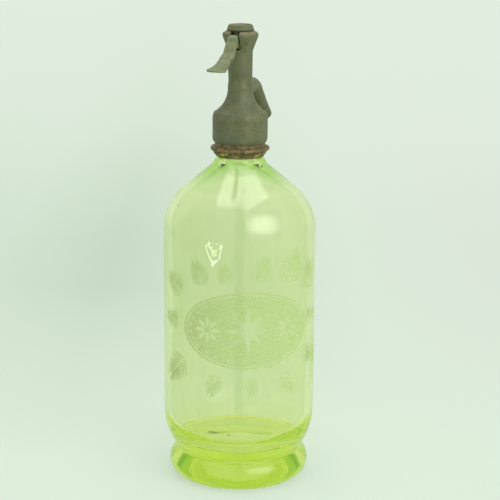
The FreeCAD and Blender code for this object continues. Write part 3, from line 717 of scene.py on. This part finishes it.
def grow(obj, group, values, material):
    """Runs the group on the object with named inputs, and keeps the result as its mesh."""
    modifier = obj.modifiers.new(group.name, "NODES")
    modifier.node_group = group
    for item in group.interface.items_tree:
        if item.item_type == "SOCKET" and item.name in values:
            modifier[item.identifier] = values[item.name]
    apply_modifiers(obj)
    set_material(obj, material)
    return obj


def close_group(group, instances, material):
    solid = add(group, "GeometryNodeRealizeInstances", instances)
    add(group, "NodeGroupOutput", add(group, "GeometryNodeSetMaterial", {"Geometry": solid, "Material": material}))


def lump_ring_group(material):
    group = node_group("lump_ring", [("Count", "NodeSocketInt"), ("Radius", "NodeSocketFloat"),
                                     ("Height", "NodeSocketFloat"), ("Lump", "NodeSocketFloat"),
                                     ("Seed", "NodeSocketInt")])
    given = add(group, "NodeGroupInput").node.outputs
    circle = add(group, "GeometryNodeMeshCircle", {"Vertices": given["Count"], "Radius": given["Radius"]})
    lift = add(group, "ShaderNodeCombineXYZ", {"Z": given["Height"]})
    raised = add(group, "GeometryNodeSetPosition", {"Geometry": circle, "Offset": lift})
    ball = add(group, "GeometryNodeMeshIcoSphere", {"Radius": given["Lump"], "Subdivisions": 3})
    outward = add(group, "FunctionNodeAlignEulerToVector", {"Vector": add(group, "GeometryNodeInputPosition")},
                  axis="X", pivot_axis="Z")
    sizes = add(group, "FunctionNodeRandomValue", {0: (0.55, 0.7, 0.9), 1: (0.7, 1.25, 1.6), "Seed": given["Seed"]},
                data_type="FLOAT_VECTOR")
    lumps = add(group, "GeometryNodeInstanceOnPoints", {
        "Points": raised, "Instance": ball, "Rotation": outward, "Scale": sizes})
    close_group(group, lumps, material)
    return group


relief = mesh_object("ring_relief", [(0, 0, 0)], [])
grow(relief, lump_ring_group(ring_brass), {
    "Count": 46, "Radius": 16.75 * MM, "Height": (RING_BASE + 2.75) * MM, "Lump": 0.75 * MM, "Seed": 5}, ring_brass)
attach(relief, "siphon")
print("relief faces:", len(relief.data.polygons))

# %% [markdown]
# ## Aged pewter
# Pewter starts silvery and turns a soft olive grey with a mottled, slightly powdery skin. Raised
# places are rubbed lighter and hollows stay dark, which the colour here does not follow, and the cast
# skin shows as fine grain. The colour is built from two noises, 7 mm clouds and 0.7 mm grain. The real
# sand grain is finer still, too fine to show at this distance. The lever has a few hairline cracks across its thumb
# end.

# %% Pewter material
def pewter(name, dark, middle, light, rust_from=None, cracked=False):
    """Cast tin alloy, dulled by age: mostly a matt skin, with a little of the metal's sheen."""
    material = new_material(name)
    tree = material.node_tree
    place = add(tree, "ShaderNodeTexCoord", out="Object")
    clouds = add(tree, "ShaderNodeTexNoise", {
        "Vector": place, "Scale": PER_MM / 7, "Detail": 4.0, "Roughness": 0.6})
    fine = add(tree, "ShaderNodeTexNoise", {
        "Vector": place, "Scale": PER_MM / 0.7, "Detail": 4.0, "Roughness": 0.75})
    patches = add(tree, "ShaderNodeTexNoise", {"Vector": place, "Scale": PER_MM / 12, "Detail": 2.0})
    mixed = add(tree, "ShaderNodeMath", add(tree, "ShaderNodeMath", clouds, 0.25, operation="MULTIPLY"),
                add(tree, "ShaderNodeMath", fine, 0.75, operation="MULTIPLY"), operation="ADD")
    aged = add(tree, "ShaderNodeValToRGB", mixed, stops=[(0.32, dark), (0.5, middle), (0.68, light)])
    teal = add(tree, "ShaderNodeMapRange", patches, 0.45, 0.70, 0.0, 0.32)
    colour = add(tree, "ShaderNodeMix", {0: teal, 6: aged, 7: linear("#5a6a58")}, data_type="RGBA", out=2)
    if rust_from is not None:
        height = add(tree, "ShaderNodeSeparateXYZ", place, out="Z")
        near_top = add(tree, "ShaderNodeMapRange", height, rust_from * MM, (rust_from + 1.2) * MM)
        upward = add(tree, "ShaderNodeSeparateXYZ", add(tree, "ShaderNodeNewGeometry", out="Normal"), out="Z")
        on_top = add(tree, "ShaderNodeMapRange", upward, 0.3, 0.8)
        worn = add(tree, "ShaderNodeMath", near_top, on_top, operation="MULTIPLY")
        cloudy = add(tree, "ShaderNodeMapRange", clouds, 0.35, 0.6)
        rust = add(tree, "ShaderNodeMath", worn, cloudy, operation="MULTIPLY")
        colour = add(tree, "ShaderNodeMix", {0: rust, 6: colour, 7: linear("#77704e")}, data_type="RGBA", out=2)
    if cracked:
        rift = add(tree, "ShaderNodeTexVoronoi", {"Vector": place, "Scale": PER_MM / 9}, feature="DISTANCE_TO_EDGE")
        along = add(tree, "ShaderNodeSeparateXYZ", place, out="Y")
        past_root = add(tree, "ShaderNodeMapRange", along, -0.018, -0.020)
        before_tip = add(tree, "ShaderNodeMapRange", along, -0.035, -0.033)
        thumb = add(tree, "ShaderNodeMath", past_root, before_tip, operation="MULTIPLY")
        line = add(tree, "ShaderNodeMapRange", rift, 0.022, 0.006)
        crack = add(tree, "ShaderNodeMath", line, thumb, operation="MULTIPLY")
        colour = add(tree, "ShaderNodeMix", {0: crack, 6: colour, 7: linear("#33362a")}, data_type="RGBA", out=2)
    relief = add(tree, "ShaderNodeMath", add(tree, "ShaderNodeMath", clouds, 0.6, operation="MULTIPLY"),
                 add(tree, "ShaderNodeMath", fine, 0.4, operation="MULTIPLY"), operation="ADD")
    skin = add(tree, "ShaderNodeBsdfPrincipled", {
        "Base Color": colour, "Metallic": 0.2,
        "Roughness": add(tree, "ShaderNodeMapRange", clouds, 0.3, 0.7, 0.62, 0.48),
        "Normal": add(tree, "ShaderNodeBump", {"Height": relief, "Distance": 0.25 * MM})})
    add(tree, "ShaderNodeOutputMaterial", skin)
    return material


cast_pewter = pewter("aged_cast_pewter", "#484b30", "#626444", "#807d56", rust_from=294.5)
lever_pewter = pewter("rubbed_lever_pewter", "#5f6545", "#757c58", "#929771", cracked=True)
for piece in (head, cap):
    set_material(piece, cast_pewter)
set_material(lever, lever_pewter)
print("pewter ready")

# %% [markdown]
# ## The remaining pieces
# Inside and small pieces keep their CAD shapes and get a finish of their own: turned brass, spring
# steel, rubber, fibre and clear tube glass.

# %% Finishes for the pieces that stay
WAVES_PER_SCALE = 20


def plain_metal(name, low, high, roughness, lines_mm):
    """Turned metal: fine rings round the axis from the tool."""
    material = new_material(name)
    tree = material.node_tree
    place = add(tree, "ShaderNodeTexCoord", out="Object")
    clouds = add(tree, "ShaderNodeTexNoise", {"Vector": place, "Scale": PER_MM / 3, "Detail": 3.0})
    rings = add(tree, "ShaderNodeTexWave", {"Vector": place, "Scale": PER_MM / lines_mm / WAVES_PER_SCALE,
                                            "Distortion": 0.4}, bands_direction="Z", out="Fac")
    metal = add(tree, "ShaderNodeBsdfPrincipled", {
        "Base Color": add(tree, "ShaderNodeValToRGB", clouds, stops=[(0.3, low), (0.7, high)]),
        "Metallic": 1.0, "Roughness": roughness,
        "Normal": add(tree, "ShaderNodeBump", {"Height": rings, "Distance": 0.02 * MM})})
    add(tree, "ShaderNodeOutputMaterial", metal)
    return material


def soft_matt(name, low, high, size_mm):
    """A matt skin of two close colours: rubber, pressed fibre, rust or dried sediment."""
    material = new_material(name)
    tree = material.node_tree
    place = add(tree, "ShaderNodeTexCoord", out="Object")
    specks = add(tree, "ShaderNodeTexNoise", {"Vector": place, "Scale": PER_MM / size_mm, "Detail": 3.0})
    skin = add(tree, "ShaderNodeBsdfPrincipled", {
        "Base Color": add(tree, "ShaderNodeValToRGB", specks, stops=[(0.35, low), (0.65, high)]),
        "Roughness": 0.8, "Normal": add(tree, "ShaderNodeBump", {"Height": specks, "Distance": 0.08 * MM})})
    add(tree, "ShaderNodeOutputMaterial", skin)
    return material


def thin_glass(name):
    """A thin drawn tube barely bends what is behind it, so it only tints and glints."""
    material = new_material(name)
    tree = material.node_tree
    place = add(tree, "ShaderNodeTexCoord", out="Object")
    streaks = add(tree, "ShaderNodeTexNoise", {"Vector": place, "Scale": PER_MM / 6, "Detail": 3.0})
    tint = add(tree, "ShaderNodeValToRGB", streaks, stops=[(0.3, "#fbfdf8"), (0.7, "#ffffff")])
    slant = add(tree, "ShaderNodeLayerWeight", {"Blend": 0.25}, out="Facing")
    share = add(tree, "ShaderNodeMapRange", slant, 0.2, 1.0, 0.0, 0.06)
    through = add(tree, "ShaderNodeBsdfTransparent", tint)
    glint = add(tree, "ShaderNodeBsdfGlossy", {"Color": linear("#f4faf0"), "Roughness": 0.08})
    add(tree, "ShaderNodeOutputMaterial", add(tree, "ShaderNodeMixShader", share, through, glint))
    return material


finishes = {
    "turned_valve_brass": (plain_metal("turned_valve_brass", "#8c7340", "#b0955a", 0.35, 0.4),
                           ["piston_rod", "lift_nut", "spring_guide_bush", "valve_seat", "tube_holder"]),
    "black_rubber": (soft_matt("black_rubber", "#1c1b19", "#2b2a27", 0.5),
                     ["piston_seal", "valve_washer", "seat_gasket", "mouth_seal", "tube_sleeve"]),
    "brown_fibre": (soft_matt("brown_fibre", "#3c3828", "#4e4834", 0.3), ["cap_washer"]),
    "tube_glass": (thin_glass("drawn_tube_glass"), ["dip_tube"]),
}
for material, nodes in finishes.values():
    for node in nodes:
        set_material(frame["nodes"][node], material)
print("finished nodes:", sum(len(nodes) for _, nodes in finishes.values()))

# %% [markdown]
# ## The return spring
# A wound spring changes length as the rod rises, which no rigid piece can follow. So it is wound again
# here from wire, between the heights of the CAD spring, and fixed to the siphon at that length.

# %% Return spring
WIRE_RADIUS, COIL_RADIUS, COIL_TURNS = 0.45, 3.4, 5.0


def wound_wire(name, low, high, steps=160, sides=12):
    """A round wire on a helix between two heights, with both ends closed."""
    vertices = []
    for step in range(steps + 1):
        turn = 2 * math.pi * COIL_TURNS * step / steps
        middle_height = low + WIRE_RADIUS + (high - low - 2 * WIRE_RADIUS) * step / steps
        for side in range(sides):
            swing = 2 * math.pi * side / sides
            reach = COIL_RADIUS + WIRE_RADIUS * math.cos(swing)
            vertices.append((reach * MM * math.cos(turn), reach * MM * math.sin(turn),
                             (middle_height + WIRE_RADIUS * math.sin(swing)) * MM))
    faces = [(step * sides + side, (step + 1) * sides + side, (step + 1) * sides + (side + 1) % sides,
              step * sides + (side + 1) % sides) for step in range(steps) for side in range(sides)]
    faces += [tuple(range(sides)), tuple(steps * sides + side for side in reversed(range(sides)))]
    return mesh_object(name, vertices, faces)


spring_low, spring_high = (corner.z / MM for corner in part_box("return_spring"))
spring = wound_wire("wound_spring", spring_low, spring_high)
set_material(spring, plain_metal("spring_steel", "#6a6a64", "#8a8a82", 0.4, 0.3))
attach(spring, "siphon")
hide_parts("return_spring")
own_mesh(spring)
print("spring height:", round(spring_high - spring_low, 2), "mm")

# %% [markdown]
# ## The etched ground
# The bottler's panel is replaced by a plain ornament in the same pale green: an oval ground inside a
# double line, with a star and rosettes left clear. It is drawn flat in millimetres, cut into upright
# strips, and wrapped on the glass. The skin of the glass lies a twentieth of a millimetre lower, so
# the two never flicker.

# %% Flat ornament
OVAL_MIDDLE = (6.0, 111.0)
BODY_RADIUS = 50.0


def oval(half_width, half_height, steps=96):
    turns = [2 * math.pi * step / steps for step in range(steps)]
    return [(OVAL_MIDDLE[0] + half_width * math.cos(t), OVAL_MIDDLE[1] + half_height * math.sin(t)) for t in turns]


def star(middle, outer, inner, points):
    places = []
    for step in range(points * 2):
        reach = outer if step % 2 == 0 else inner
        turn = math.pi / 2 + math.pi * step / points
        places.append((middle[0] + reach * math.cos(turn), middle[1] + reach * math.sin(turn)))
    return places


def petal(middle, turn, near, far, width):
    """A pointed oval that lies along one direction from the middle."""
    places = []
    for step in range(16):
        swing = 2 * math.pi * step / 16
        along = (near + far) / 2 - (far - near) / 2 * math.cos(swing)
        across = width / 2 * math.sin(swing) * abs(math.sin(swing)) ** 0.5
        places.append((middle[0] + along * math.cos(turn) - across * math.sin(turn),
                       middle[1] + along * math.sin(turn) + across * math.cos(turn)))
    return places


shapes = [oval(45, 25.5), oval(43.4, 24.1), oval(42.6, 23.4)]
shapes.append(star(OVAL_MIDDLE, 15.5, 5.2, 8))
for offset in (-27.0, 27.0):
    middle = (OVAL_MIDDLE[0] + offset, OVAL_MIDDLE[1])
    shapes += [petal(middle, math.pi * k / 4, 1.6, 9.0, 2.6) for k in range(8)]
for k in range(28):
    turn = 2 * math.pi * (k + 0.5) / 28
    place = (OVAL_MIDDLE[0] + 39.6 * math.cos(turn), OVAL_MIDDLE[1] + 20.6 * math.sin(turn))
    shapes.append(petal(place, turn, -0.9, 0.9, 1.8))
print("outlines in the ornament:", len(shapes))

# %% Fill and wrap
def filled(name, outlines):
    """Closed flat outlines in mm as one filled mesh. An outline inside another cuts a hole."""
    curve = bpy.data.curves.new(name, "CURVE")
    curve.dimensions = "2D"
    curve.fill_mode = "BOTH"
    for places in outlines:
        spline = curve.splines.new("POLY")
        spline.points.add(len(places) - 1)
        for point, (across, up) in zip(spline.points, places):
            point.co = (across * MM, up * MM, 0, 1)
        spline.use_cyclic_u = True
    drawing = bpy.data.objects.new(name + "_drawing", curve)
    scene.collection.objects.link(drawing)
    mesh = bpy.data.meshes.new_from_object(drawing.evaluated_get(bpy.context.evaluated_depsgraph_get()))
    bpy.data.objects.remove(drawing)
    obj = bpy.data.objects.new(name, mesh)
    scene.collection.objects.link(obj)
    return obj


def wrap(obj, radius_mm, strip_mm=2.5):
    """Cuts a flat mesh into upright strips and bends it round the bottle, from the lens outward."""
    work = bmesh.new()
    work.from_mesh(obj.data)
    low = min(v.co.x for v in work.verts)
    high = max(v.co.x for v in work.verts)
    for step in range(1, int((high - low) / (strip_mm * MM)) + 1):
        everything = work.verts[:] + work.edges[:] + work.faces[:]
        place = (low + step * strip_mm * MM, 0, 0)
        bmesh.ops.bisect_plane(work, geom=everything, plane_co=place, plane_no=(1, 0, 0))
    for vertex in work.verts:
        turn = CAMERA_TURN + vertex.co.x / (radius_mm * MM)
        vertex.co = (radius_mm * MM * math.sin(turn), -radius_mm * MM * math.cos(turn), vertex.co.y)
    bmesh.ops.recalc_face_normals(work, faces=work.faces)
    work.to_mesh(obj.data)
    work.free()
    return obj


ground = wrap(filled("etched_ground", shapes), BODY_RADIUS)
print("ground faces:", len(ground.data.polygons))

# %% Etched finish
def etched_material():
    """Acid-bitten glass: a matt, faintly yellow skin, stained brown at the left."""
    material = new_material("etched_skin")
    tree = material.node_tree
    place = add(tree, "ShaderNodeTexCoord", out="Object")
    fine = add(tree, "ShaderNodeTexNoise", {"Vector": place, "Scale": PER_MM / 1.2, "Detail": 4.0})
    clouds = add(tree, "ShaderNodeTexNoise", {
        "Vector": place, "Scale": PER_MM / 9, "Detail": 4.0, "Roughness": 0.6})
    side = add(tree, "ShaderNodeSeparateXYZ", place, out="X")
    leftward = add(tree, "ShaderNodeMapRange", side, -0.030, 0.012, 0.6, 0.05)
    blotchy = add(tree, "ShaderNodeMapRange", clouds, 0.42, 0.68)
    stain = add(tree, "ShaderNodeMath", leftward, blotchy, operation="MULTIPLY")
    colour = add(tree, "ShaderNodeMix", {0: stain, 6: linear("#b6cc82"), 7: linear("#a8905c")},
                 data_type="RGBA", out=2)
    matt = add(tree, "ShaderNodeBsdfPrincipled", {"Base Color": colour, "Roughness": 0.75})
    bare = add(tree, "ShaderNodeBsdfTransparent")
    cover = add(tree, "ShaderNodeMapRange", fine, 0.3, 0.7, 0.48, 0.68)
    add(tree, "ShaderNodeOutputMaterial", add(tree, "ShaderNodeMixShader", cover, bare, matt))
    return material


etched = etched_material()
set_material(ground, etched)
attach(ground, "siphon")
print("etched nodes:", len(etched.node_tree.nodes))

# %% [markdown]
# ## The plumes
# Small feathers were etched round the oval. Each is a row of narrow barbs that lean less toward the
# tip. Points carry the turn and size of their barb, and Geometry Nodes puts the barbs on them.

# %% Plumes round the oval
def barb_group(material):
    """A narrow pointed barb on each point, turned and sized by the point's own values."""
    group = node_group("plume_barbs", [("Slimness", "NodeSocketFloat")])
    given = add(group, "NodeGroupInput").node.outputs
    disc = add(group, "GeometryNodeMeshCircle", {"Vertices": 10, "Radius": 0.5}, fill_type="NGON")
    slim = add(group, "ShaderNodeCombineXYZ", 1.0, given["Slimness"], 1.0)
    barb = add(group, "GeometryNodeTransform", {"Geometry": disc, "Translation": (0.5, 0, 0), "Scale": slim})
    turn = add(group, "GeometryNodeInputNamedAttribute", {"Name": "turn"}, data_type="FLOAT")
    size = add(group, "GeometryNodeInputNamedAttribute", {"Name": "size"}, data_type="FLOAT")
    points = add(group, "GeometryNodeMeshToPoints", {"Mesh": given["Geometry"]})
    spun = add(group, "ShaderNodeCombineXYZ", {"Z": turn})
    barbs = add(group, "GeometryNodeInstanceOnPoints", {
        "Points": points, "Instance": barb, "Rotation": spun, "Scale": size})
    close_group(group, barbs, material)
    return group


# Each plume: across and up in mm, its heading in degrees, its length in mm.
plumes = [(-40, 132, 150, 17), (-24, 139, 112, 15), (-8, 141, 100, 12), (14, 142, 80, 14), (34, 139, 66, 20),
          (50, 133, 48, 19), (55, 112, 12, 11), (52, 92, -28, 16), (30, 81, -60, 13), (8, 80, -88, 10),
          (-14, 82, -112, 13), (-38, 90, -138, 21), (-44, 112, 172, 14)]
BARB_PAIRS = 9
places, turns, sizes = [], [], []
for across, up, aim, length in plumes:
    heading = math.radians(aim)
    for step in range(BARB_PAIRS):
        share = step / (BARB_PAIRS - 1)
        reach = length * (0.08 + 0.78 * share)
        for hand in (-1, 1):
            places.append(((across + reach * math.cos(heading)) * MM, (up + reach * math.sin(heading)) * MM, 0))
            turns.append(heading + hand * math.radians(58 - 42 * share))
            sizes.append(length * (0.62 - 0.24 * abs(share - 0.35)) * MM)
spray = mesh_object("etched_plumes", places, [])
for label, values in (("turn", turns), ("size", sizes)):
    spray.data.attributes.new(label, "FLOAT", "POINT").data.foreach_set("value", values)
grow(spray, barb_group(etched), {"Slimness": 0.12}, etched)
wrap(spray, BODY_RADIUS)
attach(spray, "siphon")
print("plume barbs:", len(places))

# %% [markdown]
# ## Flecks and sediment
# Rust flecks from the iron of old water stick to the outside, and two dark flakes lie on the floor.

# %% Rust flecks
def fleck_group(material):
    group = node_group("rust_flecks", [("Density", "NodeSocketFloat"), ("Size", "NodeSocketFloat"),
                                       ("Seed", "NodeSocketInt")])
    given = add(group, "NodeGroupInput").node.outputs
    points = add(group, "GeometryNodeDistributePointsOnFaces", {
        "Mesh": given["Geometry"], "Density": given["Density"], "Seed": given["Seed"]})
    ball = add(group, "GeometryNodeMeshIcoSphere", {"Radius": given["Size"], "Subdivisions": 2})
    sizes = add(group, "FunctionNodeRandomValue", {0: (0.25, 0.25, 0.10), 1: (1.0, 1.4, 0.14), "Seed": given["Seed"]},
                data_type="FLOAT_VECTOR")
    flecks = add(group, "GeometryNodeInstanceOnPoints", {
        "Points": points, "Instance": ball, "Rotation": points.node.outputs["Rotation"], "Scale": sizes})
    close_group(group, flecks, material)
    return group


rust = soft_matt("rust_fleck", "#7a5c34", "#a5844e", 0.4)
fleck_skin = outline([(49.85, 55), (49.85, SHOULDER), (MID_RADIUS, MID_HEIGHT - 0.3, shoulder_curve, RIGHT),
                      (24.0, 205.6)])
flecks = lathe("rust_flecks", fleck_skin, turns=64)
grow(flecks, fleck_group(rust), {"Density": 1500.0, "Size": 0.45 * MM, "Seed": 11}, rust)
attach(flecks, "siphon")
print("flecks:", len(flecks.data.polygons) // 80)

# %% Sediment flakes
def flake(name, place, reach):
    work = bmesh.new()
    bmesh.ops.create_icosphere(work, subdivisions=3, radius=1.0)
    for vertex in work.verts:
        vertex.co *= 1 + 0.5 * noise.noise(vertex.co * 1.7 + Vector(place))
        vertex.co = Vector((vertex.co.x * reach[0], vertex.co.y * reach[1], vertex.co.z * reach[2])) * MM
        vertex.co += Vector(place) * MM
    mesh = bpy.data.meshes.new(name)
    work.to_mesh(mesh)
    work.free()
    obj = bpy.data.objects.new(name, mesh)
    scene.collection.objects.link(obj)
    return obj


sediment_matt = soft_matt("dark_sediment", "#24402c", "#3f6a48", 0.5)
for name, turn, distance, reach in (("sediment_large", -52, 22.0, (3.0, 1.2, 0.45)),
                                    ("sediment_small", -20, 20.0, (1.3, 0.7, 0.35))):
    spot = around(turn, distance, FLOOR_HEIGHT + 1.3)
    piece = flake(name, spot, reach)
    set_material(piece, sediment_matt)
    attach(piece, "siphon")
print("last flake at", [round(value, 1) for value in spot], "mm")
